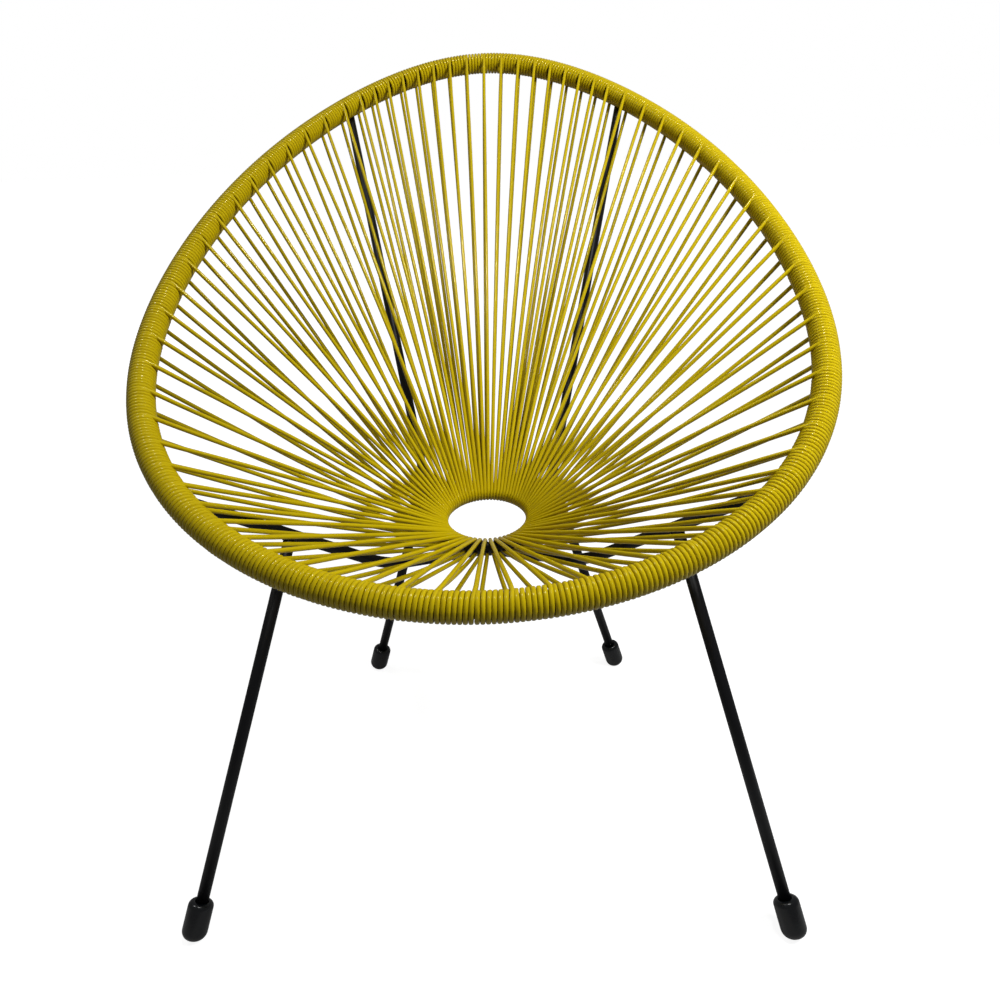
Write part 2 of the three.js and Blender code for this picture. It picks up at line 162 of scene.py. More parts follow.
egg_points = [egg_point(full_turn * step / egg_steps) for step in range(egg_steps + 1)]
egg_lengths = [0.0]
for before, after in zip(egg_points, egg_points[1:]):
    egg_lengths.append(egg_lengths[-1] + (after - before).length)
perimeter = egg_lengths[-1]
print("way round the hoop:", round(perimeter, 4), "m")

# %% [markdown]
# A place on the hoop is a distance from the middle of its front. The loops of cord are counted from there.
# They stand evenly at the front and at the top. On each side they crowd a little towards the front, and
# there is a wider space where each rod is welded on.


# %% Places along the hoop
def hoop_at(distance):
    """Centre and outward direction of the hoop at a distance from its front."""
    distance %= perimeter
    low, high = 0, egg_steps
    while high - low > 1:
        middle = (low + high) // 2
        low, high = (middle, high) if egg_lengths[middle] <= distance else (low, middle)
    share = (distance - egg_lengths[low]) / (egg_lengths[high] - egg_lengths[low])
    centre = egg_points[low].lerp(egg_points[high], share)
    tangent = (egg_points[high] - egg_points[low]).normalized()
    return centre, tangent.cross(hoop_up).normalized()


def loop_distances():
    """Distance of each loop of cord from the middle of the front, right side first."""
    half = [place * front_spacing for place in range(front_half + 1)]
    side_start = half[-1] + weld_pause
    top_start = perimeter / 2 - top_half * top_spacing
    side_span = top_start - back_pause - side_start
    for place in range(side_count):
        share = place / (side_count - 1)
        half.append(side_start + side_span * (share - crowd_share * share * (1 - share) ** 3))
    half += [top_start + place * top_spacing for place in range(top_half + 1)]
    return half + [perimeter - distance for distance in half[-2:0:-1]]


loops = loop_distances()
front_weld = front_half * front_spacing + weld_pause / 2
back_weld = perimeter / 2 - top_half * top_spacing - back_pause / 2
print("loops:", len(loops), "front weld", round(front_weld, 4), "back weld", round(back_weld, 4))

# %% [markdown]
# The ring is a plain welded rod. Each loop of cord comes down over the ring, turns round its inner side
# and goes back under it. The cords crowd all round the ring and squeeze each other, except at the front,
# where they fan out and the black rods show between them.

# %% Places round the ring
ring_up = Vector((0, -math.sin(ring_tilt), math.cos(ring_tilt)))
ring_back = Vector((0, math.cos(ring_tilt), math.sin(ring_tilt)))
cord_radius = cord_diameter / 2
turn_radius = ring_rod_diameter / 2 + cord_radius
ring_radius = ring_hole_diameter / 2 + cord_radius + turn_radius


def ring_at(angle):
    """Point on the ring's line and its outward direction, at an angle from the front."""
    outward = Vector((math.sin(angle), 0, 0)) - ring_back * math.cos(angle)
    return ring_centre + outward * ring_radius, outward


def ring_angle(loop):
    """Angle at which a loop turns round the ring: nearly even, but fanned out at the front."""
    turn = loop if loop <= loop_count / 2 else loop - loop_count
    share = turn / (loop_count / 2)
    fan = math.tanh(share / spread_width_share) / math.tanh(1 / spread_width_share)
    return math.pi * ((1 - spread_share) * share + spread_share * fan)


print("ring radius", round(ring_radius / mm, 1), "mm")

# %% [markdown]
# A place on the winding is a distance along the hoop and an angle round it. A taut cord leaves the winding
# for the ring at the angle where it points straight at the ring. Each loop leaves out half a turn of the
# winding on the inner side, and the turns beside it lean over to close up there.

# %% Places on the winding
wound_radius = (hoop_diameter + wound_height) / 2
loop_lean = 1.5 * mm
loop_lean_reach = 8 * mm


def leave_angle(distance, target):
    """Angle round the hoop, from its outer side over its top, at which a taut cord leaves for a target."""
    centre, outward = hoop_at(distance)
    reach = target - centre
    return math.atan2(-reach.dot(outward), reach.dot(hoop_up))


def lean_at(distance, angle):
    """How far a turn leans towards the loops beside it; it leans most on the inner side of the hoop."""
    lean = 0.0
    for loop in loops:
        away = (distance - loop + perimeter / 2) % perimeter - perimeter / 2
        lean += math.copysign(math.exp(-abs(away) / loop_lean_reach), away)
    return lean * loop_lean * (1 - math.cos(angle)) / 2


def wound_point(distance, angle):
    """Middle of the wound cord at a distance along the hoop and an angle round it."""
    centre, outward = hoop_at(distance - lean_at(distance, angle))
    return centre + (outward * math.cos(angle) + hoop_up * math.sin(angle)) * wound_radius


print("wound radius", round(wound_radius / mm, 2), "mm")

# %% [markdown]
# A length of cord is one long tube, so it is made as a poly curve with a round bevel and then turned into a
# mesh. A curve is right here, because a bevel keeps the tube round along any route, and a radius on each
# point lets the cord narrow where it is squeezed on the ring. The mesh gets an attribute that holds the
# place round the cord and the metres along it, so that its finish can follow it. The hoop, the ring and the
# weld beads are tubes of the same kind.


# %% A tube along a route
def tube_piece(name, route, thickness, detail, sizes=None, closed=False):
    """Mesh tube along a route, open at its ends; sizes are shares of the thickness at each point."""
    curve = bpy.data.curves.new(name + "_line", "CURVE")
    curve.dimensions = "3D"
    curve.bevel_depth = thickness / 2
    curve.bevel_resolution = detail
    curve.twist_mode = "MINIMUM"
    spline = curve.splines.new("POLY")
    spline.points.add(len(route) - 1)
    for place, here in enumerate(route):
        spline.points[place].co = (*here, 1)
        spline.points[place].radius = sizes[place] if sizes else 1
    spline.use_cyclic_u = closed
    spline.use_smooth = True
    holder = bpy.data.objects.new(name + "_line", curve)
    bpy.context.collection.objects.link(holder)
    graph = bpy.context.evaluated_depsgraph_get()
    mesh = bpy.data.meshes.new_from_object(holder.evaluated_get(graph))
    bpy.data.objects.remove(holder)
    mesh.name = name
    piece = bpy.data.objects.new(name, mesh)
    bpy.context.collection.objects.link(piece)
    return piece


def close_ends(mesh):
    """Fills the open ends of a tube."""
    bm = bmesh.new()
    bm.from_mesh(mesh)
    bmesh.ops.holes_fill(bm, edges=[edge for edge in bm.edges if edge.is_boundary], sides=0)
    bm.to_mesh(mesh)
    bm.free()


def mark_cord(mesh, route):
    """Writes the place round the cord and the metres along it on each vertex, and gives the length."""
    sides = len(mesh.vertices) // len(route)
    coat = mesh.attributes.new("cord_coat", "FLOAT_VECTOR", "POINT")
    length = 0.0
    for station, here in enumerate(route):
        if station:
            length += (here - route[station - 1]).length
        for side in range(sides):
            angle = full_turn * side / sides
            coat.data[station * sides + side].vector = (math.cos(angle), math.sin(angle), length)
    return length


# %% [markdown]
# Every finished piece rides on the chair's one body and gets the slot of its material. It stands in for a
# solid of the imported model, except for the weld beads, which have none. Each is noted down under its slot,
# so that it gets its finish at the end.

# %% Finishing a piece
pieces_of_slot = {"seat_cord": [], "powder_coated_steel": [], "foot_rubber": []}


def finish_piece(piece, slot, replaced=None):
    """Rides a piece on the chair, hides the solid that it stands in for, and notes it down under its slot."""
    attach(piece, "root")
    if replaced:
        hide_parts(replaced)
    pieces_of_slot[slot].append(piece)


# %% [markdown]
# Wound tightly, the soft cord is pressed against the hoop and against its neighbours. Its section goes
# from round to a squarish one with a flatter outer face. The bevel made it round, so each vertex of the
# winding is moved to a rounded square of the same middle, by a formula for a superellipse. Beside the
# route goes a list that says, at each point, how far the cord is pressed and which way faces outward.

# %% Pressing the wound cord
squareness = 2.8


def press_winding(mesh, route, shares):
    """Presses the section where its share is above 0; gives the farthest that a section is off its route."""
    sides = len(mesh.vertices) // len(route)
    half_width, half_height = wound_pitch / 2, wound_height / 2
    worst = 0.0
    for station, (here, (share, outward)) in enumerate(zip(route, shares)):
        section = [mesh.vertices[station * sides + side] for side in range(sides)]
        middle = sum((vertex.co for vertex in section), Vector()) / sides
        worst = max(worst, (middle - here).length)
        if share <= 0:
            continue
        for vertex in section:
            offset = vertex.co - here
            reach = offset.length
            up = abs(offset.dot(outward)) / reach
            along = math.sqrt(max(1 - up * up, 0))
            fullness = (along / half_width) ** squareness + (up / half_height) ** squareness
            pressed = fullness ** (-1 / squareness)
            vertex.co = here + offset * (1 + share * (pressed / reach - 1))
    return worst


# %% [markdown]
# One loop of the route has two taut straights and a half turn round the ring. The turn slants a little
# towards the next loop, so that the lower straight fills the gap between two upper ones. On the ring the
# cords squeeze each other, so the cord gets a little thinner there. Real plastic cord is never quite
# straight, so each straight bows by about a millimetre, by a seeded random amount, and the lower one sags
# by another.

# %% Route of one loop
random.seed(74)
straight_steps = 10
ring_turn_steps = 8
bow_size = 1.1 * mm
squeezed_share = 0.94
squeeze_reach = 26 * mm
ring_slant = math.pi / loop_count
leave_step = wound_pitch / 4


def straight(start, end, bow):
    """Points between two ends, bowed sideways in the middle."""
    steps = []
    for step in range(1, straight_steps):
        share = step / straight_steps
        steps.append(start.lerp(end, share) + bow * math.sin(math.pi * share))
    return steps


def size_near_ring(here):
    """Share of the cord's full thickness, less near the ring."""
    past = (here - ring_centre).length - ring_radius
    return squeezed_share + (1 - squeezed_share) * min(max(past / squeeze_reach, 0), 1)


def distance_of(loop):
    """Distance of a loop along the hoop; it goes on past one way round, and below 0."""
    return loops[loop % loop_count] + loop // loop_count * perimeter


def over_angle_of(loop):
    """Angle round the hoop at which the cord leaves the winding for a loop."""
    return leave_angle(distance_of(loop), ring_at(ring_angle(loop % loop_count))[0])


def loop_route(loop):
    """Route from the top of the winding round the ring to the underside of the winding."""
    centre, outward = ring_at(ring_angle(loop % loop_count))
    over_angle = over_angle_of(loop)
    over = wound_point(distance_of(loop) - leave_step, over_angle)
    under = wound_point(distance_of(loop) + leave_step, over_angle + math.pi)
    start_angle = math.atan2((over - centre).dot(ring_up), (over - centre).dot(outward)) + math.pi / 2
    end_angle = math.atan2((under - centre).dot(ring_up), (under - centre).dot(outward)) + 1.5 * math.pi
    turn = []
    for step in range(ring_turn_steps + 1):
        share = step / ring_turn_steps
        angle = start_angle + (end_angle - start_angle) * share
        centre, outward = ring_at(ring_angle(loop % loop_count) + ring_slant * (share - 0.5))
        turn.append(centre + (outward * math.cos(angle) + ring_up * math.sin(angle)) * turn_radius)
    bows = [Vector([random.gauss(0, bow_size) for _ in range(3)]) for _ in range(2)]
    bows[1].z -= bow_size
    return straight(over, turn[0], bows[0]) + turn + straight(turn[-1], under, bows[1])


# %% [markdown]
# Between two loops the cord winds round the hoop. The count of turns is worked out from the space there
# is, and the pitch takes up what is left over. A small pause before each loop leaves the thin dark gap
# that the photograph shows where a cord leaves the winding. A join between two lengths of cord is tucked
# in under the hoop. At each back weld the winding closes up, and two lengths meet under the hoop, inside
# the end of the rod, where the join doesn't show.

# %% Winding between two loops
turn_steps = 16
loop_pause = 0.5 * mm
tuck_angle = 1.3 * math.pi
tuck_gap = 0.03


def winding_after(loop):
    """Start and end distance and angle of the winding from one loop to the next."""
    start, end = distance_of(loop) + leave_step, distance_of(loop + 1) - leave_step - loop_pause
    start_angle, end_angle = over_angle_of(loop) + math.pi, over_angle_of(loop + 1)
    end_angle += full_turn * round((end - start) / wound_pitch - (end_angle - start_angle) / full_turn)
    return start, end, start_angle, end_angle


def tucks_after(loop):
    """Distance and angle where one length ends and the next begins, between a loop and the next."""
    start, end, start_angle, end_angle = winding_after(loop)
    for weld in (back_weld, perimeter - back_weld):
        if start < weld < end:
            turns_before = round((weld - start) / wound_pitch)
            turns_after = math.floor((end - weld) / wound_pitch) + 0.5
            return (weld, start_angle + turns_before * full_turn), (weld, end_angle - turns_after * full_turn)
    middle_angle = tuck_angle + full_turn * round(((start_angle + end_angle) / 2 - tuck_angle) / full_turn)
    share = (middle_angle - start_angle) / (end_angle - start_angle)
    middle = start + (end - start) * share
    return (middle, middle_angle - tuck_gap), (middle, middle_angle + tuck_gap)


def wind(route, shares, start, end, start_angle, end_angle):
    """Adds a stretch of winding to a route and to its shares, and gives its turns."""
    turns = (end_angle - start_angle) / full_turn
    steps = max(round(turns * turn_steps), 2)
    for step in range(steps + 1):
        share = step / steps
        distance, angle = start + (end - start) * share, start_angle + (end_angle - start_angle) * share
        _, outward = hoop_at(distance)
        route.append(wound_point(distance, angle))
        shares.append((1.0, outward * math.cos(angle) + hoop_up * math.sin(angle)))
    return turns


_, _, turns_start, turns_end = winding_after(0)
print("turns between the first two loops:", round((turns_end - turns_start) / full_turn, 2))

# %% [markdown]
# A length of cord starts where the length before it ends, winds up to its first loop, and goes on loop by
# loop to its own end. The pressing fades out over the first few points of each loop.

# %% Route of one length of cord
ease_steps = 3
ease_share = 0.5


def cord_route(first, last):
    """Route, shares and turns of the length of cord that holds the loops from first to last."""
    _, (start, angle) = tucks_after(first - 1)
    route, shares, turns = [], [], 0.0
    for loop in range(first, last + 1):
        _, end, start_angle, end_angle = winding_after(loop - 1)
        if loop == first:
            start_angle = angle
        turns += wind(route, shares, start, end, start_angle, end_angle)
        way = loop_route(loop)
        route += way
        before = shares[-1][1]
        for step in range(len(way)):
            nearest_end = min(step, len(way) - 1 - step)
            outward = before if step < len(way) / 2 else -before
            shares.append((max(ease_share - nearest_end / ease_steps, 0), outward))
        start = distance_of(loop) + leave_step
    (end, end_angle), _ = tucks_after(last)
    _, _, start_angle, _ = winding_after(last)
    turns += wind(route, shares, start, end, start_angle, end_angle)
    return route, shares, turns


# %% [markdown]
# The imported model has 25 lengths of cord in four stretches. Each is made here under its own name, with the
# same share of the loops.

# %% The lengths of cord
cord_detail = 6
stretches = (
    ("front", -front_half, front_count),
    ("right", front_half + 1, side_count),
    ("top", front_half + 1 + side_count, top_count),
    ("left", front_half + 1 + side_count + top_count, side_count),
)
cord_lengths = {}
total_turns = worst_station = 0.0
for stretch, first, count in stretches:
    names = sorted(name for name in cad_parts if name.startswith("cord_" + stretch))
    for number, name in enumerate(names):
        low = first + math.floor(count * number / len(names) + 0.5)
        high = first + math.floor(count * (number + 1) / len(names) + 0.5) - 1
        route, shares, turns = cord_route(low, high)
        sizes = [size_near_ring(here) for here in route]
        piece = tube_piece(name + "_wound", route, cord_diameter, cord_detail, sizes)
        worst_station = max(worst_station, press_winding(piece.data, route, shares))
        cord_lengths[name] = round(mark_cord(piece.data, route), 2)
        close_ends(piece.data)
        total_turns += turns
        finish_piece(piece, "seat_cord", name)
print("cord pieces:", len(cord_lengths), "turns:", round(total_turns))
print("length:", round(sum(cord_lengths.values()), 1), "m in all,", cord_lengths)
print("farthest station from its route:", round(worst_station / mm, 3), "mm")

# %% [markdown]
# The hoop and the ring are steel, and hardly show under the cord. They are tubes along the same lines.

# %% Hoop and ring
points_per_hoop_step = 12
hoop_detail = 6
ring_steps = 96
ring_detail = 4

hoop_line = egg_points[:-1:points_per_hoop_step]
hoop_tube = tube_piece("rim_hoop_tube", hoop_line, hoop_diameter, hoop_detail, closed=True)
finish_piece(hoop_tube, "powder_coated_steel", "rim_hoop")

ring_line = [ring_at(full_turn * step / ring_steps)[0] for step in range(ring_steps)]
ring_tube = tube_piece("center_ring_rod", ring_line, ring_rod_diameter, ring_detail, closed=True)
finish_piece(ring_tube, "powder_coated_steel", "center_ring")
print("hoop and ring:", len(hoop_tube.data.polygons), len(ring_tube.data.polygons), "faces")

# %% [markdown]
# Each crossing rod is bent cold from straight stock: straight, bend, straight, bend, straight. A curve
# could do it, but a bend is a spin, so here the rod's round end is pushed along and spun at each elbow,
# just as the bender does it. The end faces get a small bevel, like a cut that has been dressed.

# %% Bending a rod
rod_radius = rod_diameter / 2
rod_sides = 32
elbow_reach = 26 * mm
elbow_steps = 10
end_bevel = 0.8 * mm
bevel_segments = 3
bevel_profile = 0.5
same_place = 0.01 * mm
weld_sink = 3.5 * mm
rear_elbow = Vector((63.3 * mm, hoop_front + 311.1 * mm, ring_centre.z - 47 * mm))
front_elbow = Vector((104.5 * mm, hoop_front + 195 * mm, ring_centre.z - 9 * mm))


def mesh_piece(name, bm, replaced, slot):
    """Smooth-shaded piece from a closed bmesh, with its normals outward."""
    bmesh.ops.recalc_face_normals(bm, faces=bm.faces)
    for face in bm.faces:
        face.smooth = True
    mesh = bpy.data.meshes.new(name)
    bm.to_mesh(mesh)
    bm.free()
    piece = bpy.data.objects.new(name, mesh)
    bpy.context.collection.objects.link(piece)
    finish_piece(piece, slot, replaced)


def aim(place, direction):
    """Matrix that stands a shape made along +Z at a place, along a direction."""
    return Matrix.Translation(place) @ Vector((0, 0, 1)).rotation_difference(direction).to_matrix().to_4x4()


def push(bm, edges, offset):
    """Pushes a rod's open end along, and gives the edges of its new end."""
    pushed = bmesh.ops.extrude_edge_only(bm, edges=edges)["geom"]
    bmesh.ops.translate(bm, verts=[v for v in pushed if isinstance(v, bmesh.types.BMVert)], vec=offset)
    return [e for e in pushed if isinstance(e, bmesh.types.BMEdge)]


def bent_rod(corners):
    """Round rod through the corners, with a bend at each of the middle ones."""
    bm = bmesh.new()
    heading = (corners[1] - corners[0]).normalized()
    bmesh.ops.create_circle(bm, segments=rod_sides, radius=rod_radius, matrix=aim(corners[0], heading))
    edges = bm.edges[:]
    place = corners[0]
    for before, here, after in zip(corners, corners[1:], corners[2:]):
        arriving, leaving = (here - before).normalized(), (after - here).normalized()
        edges = push(bm, edges, here - arriving * elbow_reach - place)
        axis = arriving.cross(leaving).normalized()
        angle = arriving.angle(leaving)
        bend_radius = elbow_reach / math.tan(angle / 2)
        centre = here - arriving * elbow_reach + axis.cross(arriving) * bend_radius
        spun = bmesh.ops.spin(bm, geom=edges, cent=centre, axis=axis, angle=angle, steps=elbow_steps)
        edges = [e for e in spun["geom_last"] if isinstance(e, bmesh.types.BMEdge)]
        place = here + leaving * elbow_reach
    push(bm, edges, corners[-1] - place)
    bmesh.ops.remove_doubles(bm, verts=bm.verts, dist=same_place)
    bmesh.ops.holes_fill(bm, edges=[e for e in bm.edges if e.is_boundary], sides=0)
    rims = [e for e in bm.edges if any(len(f.verts) > 4 for f in e.link_faces)]
    bmesh.ops.bevel(
        bm, geom=rims, offset=end_bevel, segments=bevel_segments, profile=bevel_profile, affect="EDGES",
        material=-1,
    )
    return bm


# %% [markdown]
# The right rod runs through under the ring. The left one is two halves, each pushed against the right rod
# where they cross and welded there, so that both lie at the same height. The hidden ends of the halves
# run on into the right rod. The chair is symmetrical, so one rod's corners are the other's mirrored.

# %% Crossing rods
def weld_point(distance):
    """End of a rod: under the hoop, opposite the place where a cord leaves, and sunk a little into it."""
    centre, _ = hoop_at(distance)
    under = wound_point(distance, leave_angle(distance, ring_centre) + math.pi) - centre
    return centre + under.normalized() * (hoop_diameter / 2 + rod_radius - weld_sink)


def mirrored(place, side):
    """The place itself for side 1, and its mirror image for side -1."""
    return Vector((side * place.x, place.y, place.z))


def rod_corners(side):
    """Corners of a crossing rod, from its back weld on one side to its front weld on the other."""
    back = back_weld if side > 0 else perimeter - back_weld
    front = perimeter - front_weld if side > 0 else front_weld
    return [weld_point(back), mirrored(rear_elbow, side), mirrored(front_elbow, -side), weld_point(front)]


sides = (("right", 1, "left"), ("left", -1, "right"))
rod_lines = {name: rod_corners(side) for name, side, _ in sides}
crossing = rear_elbow.lerp(mirrored(front_elbow, -1), rear_elbow.x / (rear_elbow.x + front_elbow.x))
back, rear, front, front_end = rod_lines["left"]
rods = {
    "crossing_rod_right": rod_lines["right"],
    "crossing_rod_left_rear": [back, rear, crossing],
    "crossing_rod_left_front": [crossing, front, front_end],
}
for name, corners in rods.items():
    mesh_piece(name + "_bent", bent_rod(corners), name, "powder_coated_steel")
    print(name, "stock:", round(sum((b - a).length for a, b in zip(corners, corners[1:])), 3), "m")

# %% [markdown]
# A leg is a straight piece of the same rod. Its top is welded to a crossing rod, and its foot is pushed
# into a rubber cap. The cap is turned, so it is a profile spun round the leg's axis: a rounded toe, a
# straight wall, a soft shoulder and a lip round the socket. The floor cuts a small flat on the toe.

# %% Legs and foot caps
front_leg_share = 0.472
rear_leg_share = 0.123
front_foot = Vector((293.8 * mm, hoop_front - 28 * mm, 0))
rear_foot = Vector((176.7 * mm, hoop_front + 397.5 * mm, 0))
cap_radius = 12.25 * mm
cap_length = 38 * mm
cap_socket_depth = 30 * mm
cap_shoulder = 5 * mm
cap_toe_radius = 9 * mm
cap_flat_cut = 1.5 * mm
cap_lip = 0.9 * mm
cap_sides = 48
arc_steps = 8


def leg_line(foot, top):
    """Toe of the cap, top of the leg and the direction between them; the cap rests on its flat."""
    direction = (top - foot).normalized()
    tilt = direction.angle(Vector((0, 0, 1)))
    toe_sink = cap_toe_radius * (1 - math.cos(tilt)) + (cap_radius - cap_toe_radius) * math.sin(tilt)
    return foot + Vector((0, 0, toe_sink - cap_flat_cut)), top, direction


def straight_leg(toe, top, direction):
    """Leg from the bottom of the cap's socket to its top."""
    start = toe + direction * (cap_length - cap_socket_depth)
    length = (top - start).length
    bm = bmesh.new()
    bmesh.ops.create_cone(
        bm, cap_ends=True, segments=rod_sides, radius1=rod_radius, radius2=rod_radius, depth=length,
        matrix=aim(start.lerp(top, 0.5), direction),
    )
    return bm


def cap_profile():
    """Half section of the cap, from the middle of its toe up to the bottom of its socket."""
    points = [Vector((0, 0, 0))]
    for step in range(arc_steps + 1):
        angle = full_turn / 4 * step / arc_steps
        across = cap_radius - cap_toe_radius + cap_toe_radius * math.sin(angle)
        points.append(Vector((across, 0, cap_toe_radius * (1 - math.cos(angle)))))
    for step in range(arc_steps + 1):
        angle = full_turn / 4 * step / arc_steps
        across = cap_radius - cap_shoulder + cap_shoulder * math.cos(angle)
        points.append(Vector((across, 0, cap_length - cap_shoulder * (1 - math.sin(angle)))))
    points.append(Vector((rod_radius + cap_lip, 0, cap_length)))
    points.append(Vector((rod_radius, 0, cap_length - cap_lip)))
    points.append(Vector((rod_radius, 0, cap_length - cap_socket_depth)))
    points.append(Vector((0, 0, cap_length - cap_socket_depth)))
    return points


def foot_cap(toe, direction):
    """Cap spun round the leg's axis, with the floor's flat cut on its toe."""
    bm = bmesh.new()
    corners = [bm.verts.new(point) for point in cap_profile()]
    edges = [bm.edges.new(pair) for pair in zip(corners, corners[1:])]
    bmesh.ops.spin(
        bm, geom=corners + edges, cent=(0, 0, 0), axis=(0, 0, 1), angle=full_turn, steps=cap_sides,
        use_merge=True,
    )
    bmesh.ops.remove_doubles(bm, verts=bm.verts, dist=same_place)
    bmesh.ops.transform(bm, matrix=aim(toe, direction), verts=bm.verts)
    everything = bm.verts[:] + bm.edges[:] + bm.faces[:]
    bmesh.ops.bisect_plane(bm, geom=everything, plane_co=(0, 0, 0), plane_no=(0, 0, -1), clear_outer=True)
    bmesh.ops.holes_fill(bm, edges=[e for e in bm.edges if e.is_boundary], sides=0)
    return bm


leg_lines = {}
for name, side, across in sides:
    back, rear, front, front_end = rod_lines[name]
    rear_top, front_top = rear.lerp(back, rear_leg_share), front.lerp(front_end, front_leg_share)
    leg_lines["rear_" + name] = leg_line(mirrored(rear_foot, side), rear_top)
    leg_lines["front_" + across] = leg_line(mirrored(front_foot, -side), front_top)
for place, (toe, top_end, direction) in leg_lines.items():
    leg = straight_leg(toe, top_end, direction)
    mesh_piece(f"leg_{place}_rod", leg, f"leg_{place}", "powder_coated_steel")
    mesh_piece(f"foot_cap_{place}_moulded", foot_cap(toe, direction), f"foot_cap_{place}", "foot_rubber")
print("legs:", {place: round((end - toe).length, 3) for place, (toe, end, _) in leg_lines.items()})

# %% [markdown]
# Where a rod ends against another one, a welder runs a bead round the joint. The line of the joint is a
# saddle: the place where two round rods meet. It could be had from a Boolean, but the formula is short,
# and a thin tube along it gives the bead. Its size swells a little at every drop of the weld.

# %% Weld beads
bead_thickness = 3.4 * mm
bead_steps = 56
bead_drops = 14
bead_swell = 0.16
bead_detail = 3


def saddle_line(end, direction, crossed_place, crossed_direction):
    """Line round a rod's end where its surface meets the surface of the rod that it butts on."""
    side = direction.cross(crossed_direction).normalized()
    other = direction.cross(side)
    drop = direction - crossed_direction * direction.dot(crossed_direction)
    line = []
    for step in range(bead_steps):
        angle = full_turn * step / bead_steps
        start = end + (side * math.cos(angle) + other * math.sin(angle)) * rod_radius
        away = start - crossed_place
        away -= crossed_direction * away.dot(crossed_direction)
        half = away.dot(drop) / drop.dot(drop)
        rest = half * half - (away.dot(away) - rod_radius ** 2) / drop.dot(drop)
        line.append(start - direction * (half + math.sqrt(max(rest, 0))))
    return line


def weld_bead(name, line):
    """Bead along a closed line, with the swell of its drops."""
    drops = [full_turn * bead_drops * step / bead_steps for step in range(bead_steps)]
    sizes = [1 + bead_swell * math.sin(drop) for drop in drops]
    bead = tube_piece(name, line, bead_thickness, bead_detail, sizes, closed=True)
    finish_piece(bead, "powder_coated_steel")


for name, side, across in sides:
    back, rear, front, front_end = rod_lines[name]
    for place, upper, lower in ((f"rear_{name}", back, rear), (f"front_{across}", front_end, front)):
        _, top_end, direction = leg_lines[place]
        line = saddle_line(top_end, direction, upper, (upper - lower).normalized())
        weld_bead(f"leg_{place}_weld", line)
right_line = (rod_lines["right"][2] - rod_lines["right"][1]).normalized()
for name, elbow in (("rear", rear), ("front", front)):
    direction = (crossing - elbow).normalized()
    line = saddle_line(crossing, direction, crossing, right_line)
    weld_bead(f"crossing_rod_left_{name}_weld", line)

# %% [markdown]
# Materials. The cord is extruded plastic: smooth, glossy, and the same colour all through. The steel has a
# black powder coat with a fine orange peel, and the caps are moulded rubber. No such surface is quite even:
# each has a fine grain and broad patches where it is a little duller. That effect is the same for all
# three, so it is built once as a node group, and each material places it with its own scales.

# %% Node helpers
# A noise of this kind hardly leaves the values between these two.
noise_low, noise_high = 0.3, 0.7


def new_material(name):
    """A material, its node tree and its shader."""
    material = bpy.data.materials.new(name)
    material.use_nodes = True
    tree = material.node_tree
    return material, tree, tree.nodes["Principled BSDF"]


def node(tree, kind, **values):
    """A node with values on its sockets, or else on its own settings."""
    made = tree.nodes.new(kind)
    for key, value in values.items():
        if key in made.inputs:
            made.inputs[key].default_value = value
        else:
            setattr(made, key, value)
    return made


def colour_between(tree, source, colours, target):
    """Spreads the middle of a noise between two colours."""
    made = tree.nodes.new("ShaderNodeValToRGB")
    for element, position, colour in zip(made.color_ramp.elements, (noise_low, noise_high), colours):
        element.position = position
        element.color = (*colour, 1)
    tree.links.new(source, made.inputs["Fac"])
    tree.links.new(made.outputs["Color"], target)


def remap(tree, source, before, after, target):
    """Moves a value from one range to another."""
    made = node(tree, "ShaderNodeMapRange")
    for socket, value in zip(("From Min", "From Max", "To Min", "To Max"), (*before, *after)):
        made.inputs[socket].default_value = value
    tree.links.new(source, made.inputs["Value"])
    tree.links.new(made.outputs["Result"], target)


# %% [markdown]
# An uneven surface could be painted as an image. Two noises, one fine and one broad, need no image, and
# their scale holds at any size of the picture.

# %% The shared effect
noise_detail = 3.0
uneven = bpy.data.node_groups.new("uneven surface", "ShaderNodeTree")
uneven.interface.new_socket("Vector", in_out="INPUT", socket_type="NodeSocketVector")
for name in ("Grain Scale", "Patch Scale"):
    uneven.interface.new_socket(name, in_out="INPUT", socket_type="NodeSocketFloat")
for name in ("Grain", "Patch"):
    uneven.interface.new_socket(name, in_out="OUTPUT", socket_type="NodeSocketFloat")
entry, result = uneven.nodes.new("NodeGroupInput"), uneven.nodes.new("NodeGroupOutput")
for name in ("Grain", "Patch"):
    noise = node(uneven, "ShaderNodeTexNoise", Detail=noise_detail)
    uneven.links.new(entry.outputs["Vector"], noise.inputs["Vector"])
    uneven.links.new(entry.outputs[name + " Scale"], noise.inputs["Scale"])
    uneven.links.new(noise.outputs["Fac"], result.inputs[name])


def place_uneven(tree, shader, vector, grain_scale, patch_scale, bump_strength, bump_distance, roughness):
    """Places the effect, its grain as a bump and its patches as roughness, and gives its patches."""
    effect = node(tree, "ShaderNodeGroup", node_tree=uneven)
    effect.inputs["Grain Scale"].default_value = grain_scale
    effect.inputs["Patch Scale"].default_value = patch_scale
    tree.links.new(vector, effect.inputs["Vector"])
    bump = node(tree, "ShaderNodeBump", Strength=bump_strength, Distance=bump_distance)
    tree.links.new(effect.outputs["Grain"], bump.inputs["Height"])
    tree.links.new(bump.outputs["Normal"], shader.inputs["Normal"])
    remap(tree, effect.outputs["Patch"], (noise_low, noise_high), roughness, shader.inputs["Roughness"])
    return effect.outputs["Patch"]


print(uneven.name, "nodes:", len(uneven.nodes))

# %% [markdown]
# The real cord is pulled through a die, so what grain it has runs along it. The noise follows the attribute
# on the cord and is stretched along it. The highlights are tinted a little towards the cord's own yellow.

